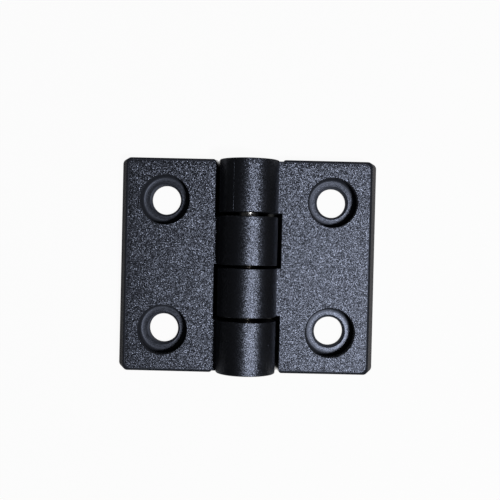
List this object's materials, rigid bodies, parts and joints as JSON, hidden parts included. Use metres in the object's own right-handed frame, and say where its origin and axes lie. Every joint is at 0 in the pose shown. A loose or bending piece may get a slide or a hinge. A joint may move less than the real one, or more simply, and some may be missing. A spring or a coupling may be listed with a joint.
{
  "type": "flat butt hinge",
  "caption": "Flat black plastic butt hinge with interleaved knuckles on a steel pin and recessed, flat-floored screw holes.",
  "frame": {"origin": "under the middle of the pin, in the plane of the leaves' backs", "axes": "+X across both leaves to the right leaf, +Y along the pin, +Z out of the front faces; the hinge lies open and flat on its back"},
  "size_m": [0.0618, 0.0508, 0.0141],
  "materials": {
    "left_leaf_plastic": "black glass-filled polyamide, finely spark-textured, satin in the screw recesses",
    "right_leaf_plastic": "black glass-filled polyamide, finely spark-textured, satin in the screw recesses",
    "pin_steel": "bright drawn stainless steel"
  },
  "bodies": {
    "fixed_leaf": {"left_leaf": "left_leaf_plastic", "hinge_pin": "pin_steel"},
    "swinging_leaf": {"right_leaf": "right_leaf_plastic"}
  },
  "joints": [
    {"name": "leaf_swing", "type": "hinge", "parent": "fixed_leaf", "child": "swinging_leaf", "pos_m": [0, 0, 0.0071], "axis": [0, -1, 0], "range_deg": [-90, 180]}
  ]
}
